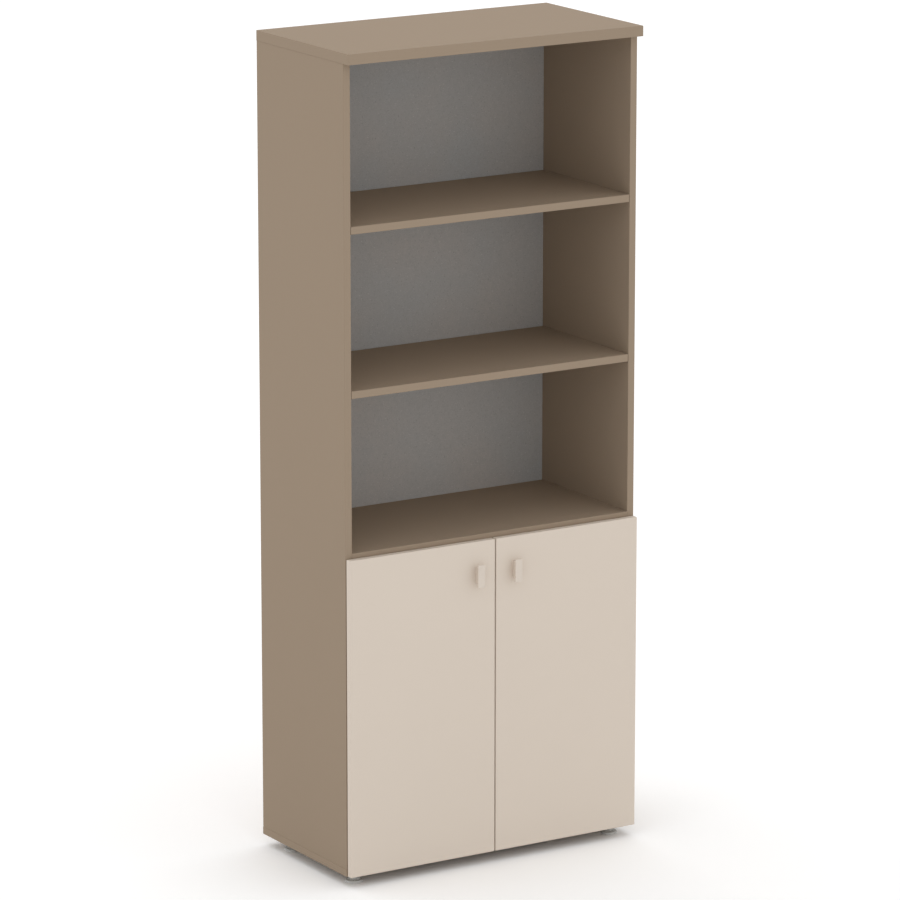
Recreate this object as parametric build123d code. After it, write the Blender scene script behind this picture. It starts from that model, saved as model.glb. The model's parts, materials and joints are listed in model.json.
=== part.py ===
from build123d import *
import os

os.makedirs("parts", exist_ok=True)

# A bookcase: three open compartments above a two-door cabinet, on four levelling feet.
# Millimetres, +Z up, +X to the right of someone who faces the doors, +Y towards the wall.
# While a piece is made, y = 0 is the plane of the case's front edges and z = 0 is the floor.
# save() then moves every piece along Y, so that the origin is the centre of the footprint.

# ------------------------------------------------------------------ case
case_width = 800.0            # top and base panel, end to end
case_height = 1976.0          # floor to the upper face of the top panel
case_depth = 394.0            # front edges to rear edges of the side panels
side_setback = 1.0            # side panel's outer face inside the ends of top and base
top_overhang = 24.0           # top panel in front of the side panels
top_thickness = 25.0
base_thickness = 18.0
side_thickness = 18.0
panel_edge_radius = 1.0       # rounding of the visible long edges
foot_height = 26.4            # floor to the underside of the base panel

# ------------------------------------------------------------------ back panel
back_thickness = 4.0
back_inset = 14.4             # rear edges of the side panels to the back panel's rear face
groove_depth = 8.0
groove_play = 0.5             # back panel's edge to the bottom of its groove
nail_radius = 1.0
nail_length = 22.0
nail_head_radius = 2.6
nail_head_height = 0.8
nail_count = 4
nail_end_inset = 120.0        # first nail from the side panel's inner face

# ------------------------------------------------------------------ shelves
shelf_thickness = 18.0
fixed_shelf_level = 806.0     # floor to the upper face of the shelf
shelf_spacing = 384.0         # one open shelf's upper face to the next
cabinet_shelf_level = 425.0
shelf_end_play = 1.0          # loose shelf's end to the side panel
shelf_front_setback = 0.5
shelf_back_play = 2.0         # loose shelf's rear edge to the back panel

pin_inset = 37.0              # shelf pin from the case front, and from the back panel
pin_radius = 2.5
pin_peg_length = 8.0
pin_hole_depth = 9.0
pin_head_radius = 4.0
pin_head_length = 10.0
pin_flat_height = 3.5         # axis of the pin to the flat that carries the shelf

# ------------------------------------------------------------------ knock-down fittings
hole_clearance = 0.05         # radial, between a fixed pin, dowel or screw and its hole
face_clearance = 0.10         # between flat faces that slide past each other when fitted
cam_radius = 7.4
cam_hole_depth = 12.5
cam_cap_thickness = 1.0
cam_reach = 34.0              # joint face to the centre of the cam
cam_slot_width = 1.6
cam_slot_length = 7.4
cam_slot_depth = 2.0
bolt_shaft_radius = 3.4
bolt_neck_radius = 2.0
bolt_neck_length = 5.0
bolt_head_length = 3.0
bolt_thread_radius = 3.0
bolt_thread_length = 11.0
dowel_radius = 4.0
dowel_edge_length = 20.0      # part of the dowel in the panel's end
dowel_face_length = 12.0      # part of the dowel in the other panel's face
fitting_inset = 50.0          # bolt axis from the case front, and from the back panel
dowel_offset = 32.0           # dowel beside its bolt, towards the middle of the panel
drill_allowance = 0.5         # extra depth of every blind drilling

# ------------------------------------------------------------------ levelling feet
foot_side_inset = 41.4        # foot axis from the end of the base panel
foot_front_inset = 36.0       # foot axis behind the case front
foot_rear_inset = 73.0        # foot axis in front of the case's rear edges
pad_radius = 20.0
pad_rim_height = 5.5
pad_rim_radius = 1.2
pad_hub_radius = 9.0
pad_hub_height = 15.0         # floor to the top of the hub
hub_floor = 6.5               # material under the stud's socket
stud_radius = 4.0
hex_across_flats = 13.0
hex_height = 5.0
insert_radius = 7.0
insert_flange_radius = 10.5
insert_flange_thickness = 1.5
insert_cover = 5.0            # board left above the threaded insert
stud_tip_cover = 2.0          # insert's upper end above the tip of the stud
stud_bore_cover = 1.5         # board left above the bore that the stud can rise into
stud_running_clearance = 0.08

# ------------------------------------------------------------------ doors
door_thickness = 16.0
door_gap = 2.0                # back of the closed door to the case front
door_side_reveal = 1.0        # door's outer edge inside the side panel's outer face
door_centre_gap = 3.0
door_bottom_reveal = 1.3      # base panel's underside to the door's lower edge
door_top_reveal = 11.7        # door's upper edge below the fixed shelf's upper face
door_edge_radius = 2.0

buffer_radius = 2.1
buffer_play = 0.1             # buffer to the case when the door is closed
buffer_stem_radius = 1.2
buffer_stem_length = 6.0
buffer_inset = 20.0           # buffer from the door's free edge

# ------------------------------------------------------------------ handles
handle_width = 19.0
handle_height = 55.0
handle_plate_thickness = 4.0
handle_corner_radius = 2.0
handle_edge_radius = 1.0
handle_reach = 21.0           # door's face to the handle's front
handle_stem_width = 8.0
handle_stem_height = 41.0
handle_stem_radius = 3.0
handle_inset = 50.0           # handle's axis from the door's free edge
handle_drop = 80.0            # handle's centre below the door's upper edge
handle_screw_spacing = 25.0
handle_screw_radius = 2.0
handle_screw_grip = 12.0      # length of thread in the handle
handle_screw_play = 0.25      # radial, in the door
handle_screw_head_radius = 4.0
handle_screw_head_height = 2.2
handle_screw_head_rounding = 1.1

# ------------------------------------------------------------------ hinges
hinge_end_distance = 100.0    # hinge from the door's upper or lower edge
pivot_inset = 7.0             # hinge pin from the door's outer edge
pivot_depth = 9.6             # hinge pin in front of the door's back
pivot_pin_radius = 1.1
pivot_pin_length = 16.0
pivot_running_clearance = 0.05
cup_radius = 17.5
cup_edge_distance = 3.5       # rim of the cup to the door's outer edge
cup_depth = 13.0
cup_wall = 0.8
cup_flange_thickness = 1.2
cup_flange_radius = 19.5
cup_flange_cut = 0.5          # flange starts this far beyond the pin
cup_ear_width = 14.0
cup_ear_height = 56.0
cup_ear_offset = 9.5          # cup screws beyond the centre of the cup
cup_screw_spacing = 45.0
cup_screw_radius = 1.75
cup_screw_head_radius = 3.3
cup_screw_length = 12.0
cheek_reach = 4.0             # cheek beyond the pin
cheek_height = 3.0            # cheek above the pin
knuckle_radius = 2.0
knuckle_length = 8.0
knuckle_side_play = 0.2
arm_thickness = 1.5
arm_bend_radius = 2.0
arm_leg_reach = 12.35         # pin to the middle of the arm's leg
arm_leg_end = 6.0             # leg's rear end behind the case front
arm_step_end = 14.0           # rear end of the arm's slanting step
arm_rear_end = 60.0
arm_height = 14.0
arm_channel_start = 16.0
arm_channel_lip = 4.0         # side panel's face to the channel's lower edge
plate_block_height = 10.5     # side panel's face to the seat of the arm
plate_block_start = 20.0
plate_block_end = 58.0
plate_thickness = 2.5
plate_width = 14.0
plate_corner_radius = 4.5
plate_length = 44.0
plate_inset = 37.0            # plate screws behind the case front
plate_screw_spacing = 32.0
plate_screw_radius = 3.0
plate_screw_head_radius = 4.2
plate_screw_head_height = 1.5
plate_screw_length = 12.0
adjuster_position = 28.0      # adjusting screw behind the case front
clamp_position = 48.0         # clamping screw behind the case front
arm_screw_radius = 2.0
arm_screw_head_radius = 3.4
arm_screw_head_height = 2.0
arm_screw_length = 9.0

# ------------------------------------------------------------------ cutting
overcut = 1.0                 # how far a cutting shape runs past the face that it cuts

# ------------------------------------------------------------------ places worked out from the sizes
base_bottom = foot_height
base_top = base_bottom + base_thickness
top_bottom = case_height - top_thickness
side_outer = case_width / 2 - side_setback
side_inner = side_outer - side_thickness
back_rear = case_depth - back_inset
back_front = back_rear - back_thickness
fixed_shelf_bottom = fixed_shelf_level - shelf_thickness
middle_shelf_level = fixed_shelf_level + shelf_spacing
upper_shelf_level = middle_shelf_level + shelf_spacing
loose_shelf_levels = (upper_shelf_level, middle_shelf_level, cabinet_shelf_level)
fitting_rows = (fitting_inset, back_front - fitting_inset)
pin_rows = (pin_inset, back_front - pin_inset)

foot_x = case_width / 2 - foot_side_inset
foot_front_y = foot_front_inset
foot_rear_y = case_depth - foot_rear_inset
insert_top = base_top - insert_cover
stud_top = insert_top - stud_tip_cover

door_back = -door_gap
door_front = door_back - door_thickness
door_outer = -(side_outer - door_side_reveal)
door_free = -door_centre_gap / 2
door_bottom = base_bottom + door_bottom_reveal
door_top = fixed_shelf_level - door_top_reveal
buffer_x = door_free - buffer_inset
buffer_levels = ((door_bottom + base_top) / 2, (door_top - door_edge_radius + fixed_shelf_bottom) / 2)

handle_x = door_free - handle_inset
handle_z = door_top - handle_drop
handle_front = door_front - handle_reach
handle_plate_back = handle_front + handle_plate_thickness

hinge_levels = (door_bottom + hinge_end_distance, door_top - hinge_end_distance)
pivot_x = door_outer + pivot_inset
pivot_y = door_back - pivot_depth
cup_x = door_outer + cup_edge_distance + cup_radius
cup_floor = door_back - cup_depth
arm_seat = -side_inner + plate_block_height

# The footprint runs from the handles' front to the rear edges of the case.
footprint_centre = (handle_front + case_depth) / 2


# ------------------------------------------------------------------ helpers
def block(x_span, y_span, z_span):
    """Rectangular solid that fills three spans."""
    spans = (x_span, y_span, z_span)
    sizes = [max(span) - min(span) for span in spans]
    middles = [(span[0] + span[1]) / 2 for span in spans]
    return Pos(*middles) * Box(*sizes)


def rod(start, end, radius):
    """Round bar from one point to another."""
    run = Vector(*end) - Vector(*start)
    base = (Align.CENTER, Align.CENTER, Align.MIN)
    return Plane(origin=start, z_dir=run) * Cylinder(radius, run.length, align=base)


def to_right(shape):
    """The right-hand twin of a piece that is made for the left side."""
    return mirror(shape, about=Plane.YZ)


def save(name, *solids):
    """Writes one node, moved so that the origin is the centre of the footprint."""
    placed = [Pos(0, -footprint_centre, 0) * solid for solid in solids]
    loose = [single for shape in placed for single in shape.solids()]
    export_step(Compound(loose), os.path.join("parts", name + ".step"))


# ------------------------------------------------------------------ knock-down fittings
# Each fitting is made about a joint plane: its origin is where the bolt's axis crosses the
# joint, Z points from the panel that holds the cam into the other panel, and X points to
# the face that the cam is pushed in from.
def joint_planes():
    """The joint planes of all twelve bolts: side tops, side bottoms and fixed shelf ends."""
    middle = (side_outer + side_inner) / 2
    planes = []
    for hand in (-1, 1):
        for row in fitting_rows:
            inward = (-hand, 0, 0)
            planes.append(Plane(origin=(hand * middle, row, top_bottom), x_dir=inward, z_dir=(0, 0, 1)))
            planes.append(Plane(origin=(hand * middle, row, base_top), x_dir=inward, z_dir=(0, 0, -1)))
            shelf_end = (hand * side_inner, row, fixed_shelf_level - shelf_thickness / 2)
            planes.append(Plane(origin=shelf_end, x_dir=(0, 0, -1), z_dir=(hand, 0, 0)))
    return planes


def panel_behind(plane):
    """Thickness of the panel that holds the cam of this joint."""
    return shelf_thickness if abs(plane.z_dir.X) > 0.5 else side_thickness


def cam_lock(plane):
    """Cam disc with its driver slot and the mouth that swallows the bolt's head."""
    face = panel_behind(plane) / 2
    bottom = face - cam_hole_depth
    body = rod((bottom, 0, -cam_reach), (face - cam_cap_thickness, 0, -cam_reach), cam_radius)
    mouth_half = bolt_shaft_radius + face_clearance
    mouth = block((bottom - overcut, mouth_half), (-mouth_half, mouth_half),
                  (-cam_reach - mouth_half, -cam_reach + cam_radius + overcut))
    slot_top = face - cam_cap_thickness
    slot = block((slot_top - cam_slot_depth, slot_top + overcut), (-cam_slot_width / 2, cam_slot_width / 2),
                 (-cam_reach - cam_slot_length / 2, -cam_reach + cam_slot_length / 2))
    return plane * (body - mouth - slot)


def cam_cap(plane):
    """Thin cover disc, flush with the panel's face."""
    face = panel_behind(plane) / 2
    return plane * rod((face - cam_cap_thickness, 0, -cam_reach), (face, 0, -cam_reach), cam_radius)


def cam_bolt(plane):
    """Connecting bolt: screwed into one panel, its head held by the cam of the other."""
    head_start = -cam_reach - bolt_head_length / 2
    neck_start = head_start + bolt_head_length
    shaft_start = neck_start + bolt_neck_length
    head = rod((0, 0, head_start), (0, 0, neck_start), bolt_shaft_radius)
    neck = rod((0, 0, neck_start), (0, 0, shaft_start), bolt_neck_radius)
    shaft = rod((0, 0, shaft_start), (0, 0, 0), bolt_shaft_radius)
    thread = rod((0, 0, 0), (0, 0, bolt_thread_length), bolt_thread_radius)
    return plane * (head + neck + shaft + thread)


def dowel_shift(plane):
    """Step along the joint from the bolt to its dowel, towards the middle of the panel."""
    front_row = plane.origin.Y < sum(fitting_rows) / 2
    return Vector(0, dowel_offset if front_row else -dowel_offset, 0)


def dowel(plane):
    """Fluted dowel, drawn as a plain round peg."""
    peg = rod((0, 0, -dowel_edge_length), (0, 0, dowel_face_length), dowel_radius)
    return Pos(*dowel_shift(plane)) * (plane * peg)


def edge_drillings(plane):
    """Holes in the panel that holds the cam: cam pocket, bolt bore and dowel hole."""
    face = panel_behind(plane) / 2
    pocket = rod((face - cam_hole_depth - drill_allowance, 0, -cam_reach), (face + overcut, 0, -cam_reach),
                 cam_radius + face_clearance)
    bore = rod((0, 0, -cam_reach), (0, 0, 1), bolt_shaft_radius + face_clearance)
    hole = rod((0, 0, -dowel_edge_length - drill_allowance), (0, 0, 1), dowel_radius + hole_clearance)
    return [plane * pocket, plane * bore, Pos(*dowel_shift(plane)) * (plane * hole)]


def face_drillings(plane):
    """Holes in the other panel: bolt thread and dowel hole."""
    thread = rod((0, 0, -1), (0, 0, bolt_thread_length + drill_allowance),
                 bolt_thread_radius + hole_clearance)
    hole = rod((0, 0, -1), (0, 0, dowel_face_length + drill_allowance), dowel_radius + hole_clearance)
    return [plane * thread, Pos(*dowel_shift(plane)) * (plane * hole)]


def drillings_into(kind):
    """All drillings of the twelve joints that go into the top, base, shelf or left side panel."""
    cuts = []
    for plane in joint_planes():
        towards = plane.z_dir
        left = plane.origin.X < 0
        if kind == "top" and towards.Z > 0.5:
            cuts += face_drillings(plane)
        if kind == "base" and towards.Z < -0.5:
            cuts += face_drillings(plane)
        if kind == "shelf" and abs(towards.X) > 0.5:
            cuts += edge_drillings(plane)
        if kind == "side" and left:
            cuts += face_drillings(plane) if abs(towards.X) > 0.5 else edge_drillings(plane)
    return cuts


# ------------------------------------------------------------------ case panels
def back_groove(z_span):
    """Groove for the back panel, between the bottoms of the two side grooves."""
    reach = side_inner + groove_depth
    return block((-reach, reach), (back_front - face_clearance, back_rear + face_clearance), z_span)


def top_panel():
    """Thick top, overhanging at the front, all edges softened."""
    panel = block((-case_width / 2, case_width / 2), (-top_overhang, case_depth),
                  (top_bottom, case_height))
    panel = fillet(panel.edges(), panel_edge_radius)
    return panel - [back_groove((top_bottom - overcut, top_bottom + groove_depth))] - drillings_into("top")


def foot_drillings():
    """Stepped holes for the four threaded inserts, from the underside of the base."""
    cuts = []
    for x in (-foot_x, foot_x):
        for y in (foot_front_y, foot_rear_y):
            cuts.append(rod((x, y, base_bottom - overcut), (x, y, insert_top + face_clearance),
                            insert_radius + hole_clearance))
            cuts.append(rod((x, y, base_bottom), (x, y, base_top - stud_bore_cover),
                            stud_radius + 2 * stud_running_clearance))
    return cuts


def base_panel():
    """Bottom panel that the sides stand on and the feet are screwed into."""
    panel = block((-case_width / 2, case_width / 2), (0, case_depth), (base_bottom, base_top))
    panel = fillet(panel.edges(), panel_edge_radius)
    groove = back_groove((base_top - groove_depth, base_top + overcut))
    return panel - [groove] - drillings_into("base") - foot_drillings()


def pin_axis_level(shelf_level):
    """Height of a shelf pin's axis under the given shelf."""
    return shelf_level - shelf_thickness - pin_flat_height


def plate_screw_levels():
    """Heights of the four hinge plate screws in one side panel."""
    half = plate_screw_spacing / 2
    return [level + step for level in hinge_levels for step in (-half, half)]


def left_side_panel():
    """Left side, drilled for its fittings, shelf pins and hinge plates, grooved for the back."""
    panel = block((-side_outer, -side_inner), (0, case_depth), (base_top, top_bottom))
    front_edges = panel.edges().filter_by(Axis.Z).group_by(Axis.Y)[0]
    panel = fillet(front_edges, panel_edge_radius)
    cuts = drillings_into("side")
    cuts.append(back_groove((base_top - overcut, top_bottom + overcut)))
    for level in loose_shelf_levels:
        for row in pin_rows:
            z = pin_axis_level(level)
            cuts.append(rod((-side_inner - pin_hole_depth, row, z), (-side_inner + overcut, row, z),
                            pin_radius + hole_clearance))
    for z in plate_screw_levels():
        cuts.append(rod((-side_inner - plate_screw_length - drill_allowance, plate_inset, z),
                        (-side_inner + overcut, plate_inset, z), plate_screw_radius + hole_clearance))
    return panel - cuts


def nail_positions():
    """Places of the nails along the fixed shelf's rear edge."""
    reach = side_inner - nail_end_inset
    step = 2 * reach / (nail_count - 1)
    return [-reach + step * index for index in range(nail_count)]


def nail_drillings():
    """Holes of the nails, through the back panel and into the fixed shelf."""
    z = fixed_shelf_level - shelf_thickness / 2
    front = back_rear - nail_length - drill_allowance
    return [rod((x, front, z), (x, back_rear + overcut, z), nail_radius + hole_clearance)
            for x in nail_positions()]


def back_nail(x):
    """Flat-headed nail that holds the back panel to the fixed shelf."""
    z = fixed_shelf_level - shelf_thickness / 2
    shank = rod((x, back_rear - nail_length, z), (x, back_rear, z), nail_radius)
    return shank + rod((x, back_rear, z), (x, back_rear + nail_head_height, z), nail_head_radius)


def back_panel():
    """Thin back that slides in the grooves of the sides, top and base."""
    half = side_inner + groove_depth - groove_play
    low = base_top - groove_depth + groove_play
    high = top_bottom + groove_depth - groove_play
    panel = block((-half, half), (back_front, back_rear), (low, high))
    return panel - nail_drillings()


def shelf_board(half_width, front, rear, level):
    """Shelf with softened front edges, its upper face at the given level."""
    board = block((-half_width, half_width), (front, rear), (level - shelf_thickness, level))
    front_edges = board.edges().filter_by(Axis.X).group_by(Axis.Y)[0]
    return fillet(front_edges, panel_edge_radius)


def fixed_shelf():
    """Structural shelf between cabinet and open part, held by cams and dowels."""
    board = shelf_board(side_inner, 0, back_front, fixed_shelf_level)
    return board - drillings_into("shelf") - nail_drillings()


def loose_shelf(level):
    """Shelf that lies on four pins."""
    return shelf_board(side_inner - shelf_end_play, shelf_front_setback,
                       back_front - shelf_back_play, level)


def shelf_pin(row, level):
    """Left-hand shelf pin: round peg in the side, flattened head under the shelf."""
    z = pin_axis_level(level)
    peg = rod((-side_inner - pin_peg_length, row, z), (-side_inner, row, z), pin_radius)
    head = rod((-side_inner, row, z), (-side_inner + pin_head_length, row, z), pin_head_radius)
    above = block((-side_inner - overcut, -side_inner + pin_head_length + overcut),
                  (row - pin_head_radius - overcut, row + pin_head_radius + overcut),
                  (z + pin_flat_height, z + pin_head_radius + overcut))
    return peg + (head - above)


def shelf_pins(level):
    """The four pins of one loose shelf."""
    left = [shelf_pin(row, level) for row in pin_rows]
    return left + [to_right(pin) for pin in left]


# ------------------------------------------------------------------ levelling feet
def foot_pad(x, y):
    """Moulded pad: flat round foot with a short hub and the stud's socket."""
    disc = rod((x, y, 0), (x, y, pad_rim_height), pad_radius)
    disc = fillet(disc.edges(), pad_rim_radius)
    hub = rod((x, y, 0), (x, y, pad_hub_height), pad_hub_radius)
    socket = rod((x, y, hub_floor), (x, y, pad_hub_height + overcut), stud_radius + hole_clearance)
    return disc + hub - socket


def foot_stud(x, y):
    """Steel stud with a hexagon to turn it by; its thread is drawn as a plain bar."""
    bar = rod((x, y, hub_floor), (x, y, stud_top), stud_radius)
    hexagon = RegularPolygon(hex_across_flats / 2, 6, major_radius=False)
    nut = Pos(x, y, pad_hub_height) * extrude(hexagon, amount=hex_height)
    return bar + nut


def foot_insert(x, y):
    """Threaded insert with a flange against the underside of the base panel."""
    body = rod((x, y, base_bottom), (x, y, insert_top), insert_radius)
    flange = rod((x, y, base_bottom - insert_flange_thickness), (x, y, base_bottom),
                 insert_flange_radius)
    bore = rod((x, y, base_bottom - insert_flange_thickness - overcut), (x, y, insert_top + overcut),
               stud_radius + stud_running_clearance)
    return body + flange - bore


# ------------------------------------------------------------------ doors
# Door, buffers, handle and screws are made for the left side; the right ones are their twins.
def door_panel():
    """Door slab, drilled for its hinge cups, cup screws, handle screws and buffers."""
    slab = block((door_outer, door_free), (door_front, door_back), (door_bottom, door_top))
    slab = fillet(slab.edges(), door_edge_radius)
    cuts = []
    for z in hinge_levels:
        cuts.append(rod((cup_x, cup_floor - hole_clearance, z), (cup_x, door_back + overcut, z),
                        cup_radius + hole_clearance))
        for x, screw_z in cup_screw_places(z):
            cuts.append(rod((x, door_back - cup_screw_length - drill_allowance, screw_z),
                            (x, door_back + overcut, screw_z), cup_screw_radius + hole_clearance))
    for z in handle_screw_levels():
        cuts.append(rod((handle_x, door_front - overcut, z), (handle_x, door_back + overcut, z),
                        handle_screw_radius + handle_screw_play))
    for z in buffer_levels:
        cuts.append(rod((buffer_x, door_back - buffer_stem_length - drill_allowance, z),
                        (buffer_x, door_back + overcut, z), buffer_stem_radius + hole_clearance))
    return slab - cuts


def door_buffer(z):
    """Soft push-in buffer that the closed door rests on."""
    head = rod((buffer_x, door_back, z), (buffer_x, -buffer_play, z), buffer_radius)
    return head + rod((buffer_x, door_back - buffer_stem_length, z), (buffer_x, door_back, z),
                      buffer_stem_radius)


def handle_screw_levels():
    """Heights of the two screws of one handle."""
    return [handle_z - handle_screw_spacing / 2, handle_z + handle_screw_spacing / 2]


def handle():
    """Pull with an upright rectangular plate on a narrower stem."""
    outline = RectangleRounded(handle_width, handle_height, handle_corner_radius)
    plate_plane = Plane(origin=(handle_x, handle_plate_back, handle_z), x_dir=(1, 0, 0), z_dir=(0, -1, 0))
    plate = extrude(plate_plane * outline, amount=handle_plate_thickness)
    plate = fillet(plate.edges().group_by(Axis.Y)[0], handle_edge_radius)
    stem_plane = Plane(origin=(handle_x, door_front, handle_z), x_dir=(1, 0, 0), z_dir=(0, -1, 0))
    stem_outline = RectangleRounded(handle_stem_width, handle_stem_height, handle_stem_radius)
    stem = extrude(stem_plane * stem_outline, amount=door_front - handle_plate_back)
    sockets = [rod((handle_x, door_front - handle_screw_grip - drill_allowance, z),
                   (handle_x, door_front + overcut, z), handle_screw_radius + hole_clearance)
               for z in handle_screw_levels()]
    return plate + stem - sockets


def handle_screw(z):
    """Pan-head screw from the inside of the door into the handle's stem."""
    shank = rod((handle_x, door_front - handle_screw_grip, z), (handle_x, door_back, z),
                handle_screw_radius)
    head = rod((handle_x, door_back, z), (handle_x, door_back + handle_screw_head_height, z),
               handle_screw_head_radius)
    head = fillet(head.edges().group_by(Axis.Y)[-1], handle_screw_head_rounding)
    return shank + head


# ------------------------------------------------------------------ hinges
# Made for the left side, with z the height of one hinge; the right ones are their twins.
def cup_screw_places(z):
    """Places of the two screws of one hinge cup, as (x, z)."""
    return [(cup_x + cup_ear_offset, z + side * cup_screw_spacing / 2) for side in (-1, 1)]


def hinge_cup(z):
    """Pressed cup in the door: round pocket, two cheeks that hold the pin, and its flange."""
    shell = rod((cup_x, cup_floor, z), (cup_x, door_back, z), cup_radius)
    pocket = rod((cup_x, cup_floor + cup_wall, z), (cup_x, door_back + cup_flange_thickness + overcut, z),
                 cup_radius - cup_wall)
    cheek_gap = knuckle_length / 2 + knuckle_side_play
    cheeks = [block((door_outer, pivot_x + cheek_reach), (cup_floor, pivot_y + cheek_height),
                    (z + low, z + high))
              for low, high in ((-cup_radius, -cheek_gap), (cheek_gap, cup_radius))]
    cheeks = [shell & cheek for cheek in cheeks]
    flange = rod((cup_x, door_back, z), (cup_x, door_back + cup_flange_thickness, z), cup_flange_radius)
    ears_x = cup_x + cup_ear_offset
    ears = block((ears_x - cup_ear_width / 2, ears_x + cup_ear_width / 2),
                 (door_back, door_back + cup_flange_thickness),
                 (z - cup_ear_height / 2, z + cup_ear_height / 2))
    beyond = block((door_outer - cup_radius, pivot_x + cup_flange_cut), (door_back, 0),
                   (z - cup_ear_height, z + cup_ear_height))
    rim = (flange + ears) - [beyond, pocket]
    pin_hole = rod((pivot_x, pivot_y, z - pivot_pin_length / 2 - hole_clearance),
                   (pivot_x, pivot_y, z + pivot_pin_length / 2 + hole_clearance),
                   pivot_pin_radius + hole_clearance / 2)
    above_flange = door_back + cup_flange_thickness + overcut
    screw_holes = [rod((x, door_back - overcut, screw_z), (x, above_flange, screw_z),
                       cup_screw_radius + hole_clearance)
                   for x, screw_z in cup_screw_places(z)]
    body = (shell - pocket) + cheeks + rim
    return body - [pin_hole] - screw_holes


def cup_screw(x, z):
    """Screw that holds the cup's flange to the door."""
    top = door_back + cup_flange_thickness
    shank = rod((x, door_back - cup_screw_length, z), (x, top, z), cup_screw_radius)
    return shank + rod((x, top, z), (x, -buffer_play, z), cup_screw_head_radius)


def hinge_pin(z):
    """Steel pin in the cup's cheeks, the axis that the door turns on."""
    half = pivot_pin_length / 2
    return rod((pivot_x, pivot_y, z - half), (pivot_x, pivot_y, z + half), pivot_pin_radius)


def arm_route():
    """Middle line of the bent arm, from its knuckle to its rear end, seen from above."""
    web_y = pivot_y - knuckle_radius + arm_thickness / 2
    leg_x = pivot_x + arm_leg_reach
    seat_x = arm_seat + arm_thickness / 2
    corners = [(pivot_x, web_y), (leg_x, web_y), (leg_x, arm_leg_end), (seat_x, arm_step_end),
               (seat_x, arm_rear_end)]
    return FilletPolyline(*corners, radius=arm_bend_radius)


def hinge_arm(z):
    """Bent steel arm: knuckle on the pin, leg past the side's edge, channel over the plate."""
    strip = trace(arm_route(), arm_thickness)
    strip = Pos(0, 0, z - arm_height / 2) * extrude(strip, amount=arm_height)
    narrow = knuckle_length / 2
    too_high = [block((pivot_x - overcut, arm_seat + arm_thickness + overcut),
                      (pivot_y - knuckle_radius - overcut, arm_leg_end),
                      (z + side * narrow, z + side * arm_height))
                for side in (-1, 1)]
    knuckle = rod((pivot_x, pivot_y, z - narrow), (pivot_x, pivot_y, z + narrow), knuckle_radius)
    lips = [block((-side_inner + arm_channel_lip, arm_seat), (arm_channel_start, arm_rear_end),
                  (z + side * (arm_height / 2 - arm_thickness), z + side * arm_height / 2))
            for side in (-1, 1)]
    bore = rod((pivot_x, pivot_y, z - arm_height), (pivot_x, pivot_y, z + arm_height),
               pivot_pin_radius + pivot_running_clearance)
    screw_holes = [rod((arm_seat - overcut, y, z), (arm_seat + arm_thickness + overcut, y, z),
                       arm_screw_radius + hole_clearance)
                   for y in (adjuster_position, clamp_position)]
    return (strip - too_high) + lips + knuckle - [bore] - screw_holes


def hinge_plate(z):
    """Mounting plate on the side panel: wings for its two screws and a block for the arm."""
    wings = block((-side_inner, -side_inner + plate_thickness),
                  (plate_inset - plate_width / 2, plate_inset + plate_width / 2),
                  (z - plate_length / 2, z + plate_length / 2))
    wing_corners = wings.edges().filter_by(Axis.X)
    wings = fillet(wing_corners, plate_corner_radius)
    half = arm_height / 2 - arm_thickness - face_clearance
    seat = block((-side_inner, arm_seat), (plate_block_start, plate_block_end), (z - half, z + half))
    holes = [rod((-side_inner - overcut, plate_inset, screw_z),
                 (-side_inner + plate_thickness + overcut, plate_inset, screw_z),
                 plate_screw_radius + hole_clearance)
             for screw_z in (z - plate_screw_spacing / 2, z + plate_screw_spacing / 2)]
    threads = [rod((arm_seat - arm_screw_length, y, z), (arm_seat + overcut, y, z),
                   arm_screw_radius + hole_clearance)
               for y in (adjuster_position, clamp_position)]
    return wings + seat - holes - threads


def plate_screw(z):
    """Screw of the mounting plate in the side panel."""
    top = -side_inner + plate_thickness
    shank = rod((-side_inner - plate_screw_length, plate_inset, z), (top, plate_inset, z),
                plate_screw_radius)
    head = rod((top, plate_inset, z), (top + plate_screw_head_height, plate_inset, z),
               plate_screw_head_radius)
    return shank + head


def arm_screw(y, z):
    """Adjusting or clamping screw through the arm into the mounting plate."""
    top = arm_seat + arm_thickness
    shank = rod((top - arm_screw_length, y, z), (top, y, z), arm_screw_radius)
    head = rod((top, y, z), (top + arm_screw_head_height, y, z), arm_screw_head_radius)
    return shank + head


# ------------------------------------------------------------------ all nodes
def save_pair(name, solids):
    """Writes the left node and its right-hand twin."""
    save("left_" + name, *solids)
    save("right_" + name, *[to_right(solid) for solid in solids])


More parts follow.
